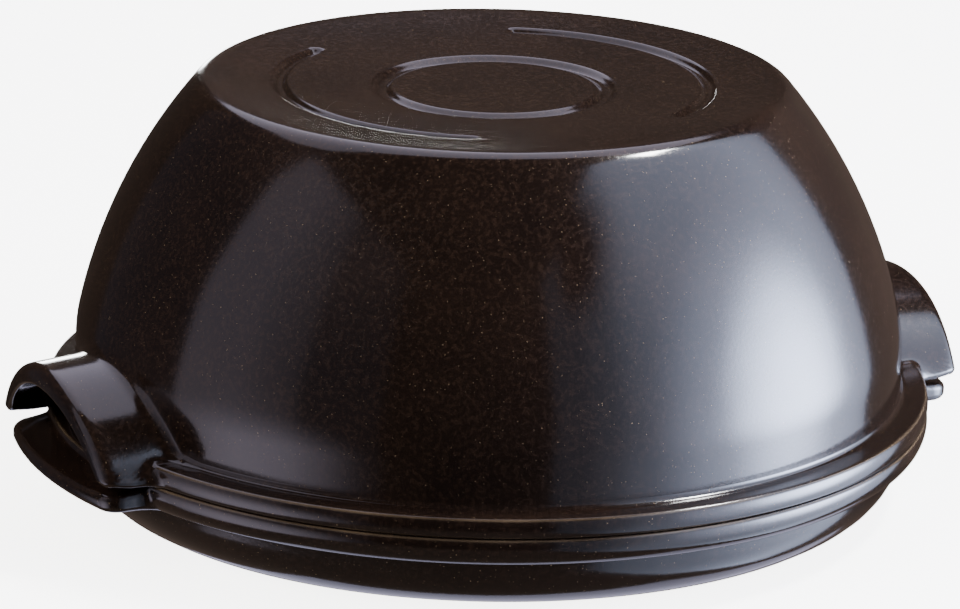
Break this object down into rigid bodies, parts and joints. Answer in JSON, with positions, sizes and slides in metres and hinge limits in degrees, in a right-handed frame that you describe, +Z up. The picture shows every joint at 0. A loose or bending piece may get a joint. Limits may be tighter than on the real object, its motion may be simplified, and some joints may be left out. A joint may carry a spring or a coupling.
{
  "type": "bread cloche",
  "caption": "Round stoneware bread cloche: a domed lid with arched hood grips that lifts off a shallow footed baking dish with shelf grips.",
  "frame": {"origin": "middle of the dish's foot ring, on the surface that it stands on", "axes": "+Z up along the axis that the dish and the lid turn round, +X through the middle of one pair of grips"},
  "size_m": [0.3148, 0.29, 0.136],
  "materials": {
    "dish_glaze": "glossy speckled dark brown glaze on stoneware",
    "lid_glaze": "glossy speckled dark brown glaze on stoneware"
  },
  "bodies": {
    "base": {"base_dish": "dish_glaze"},
    "lid": {"dome_lid": "lid_glaze"}
  },
  "joints": [
    {"name": "lid_lift", "type": "slide", "parent": "base", "child": "lid", "axis": [0, 0, 1], "range_m": [0, 0.18]}
  ]
}
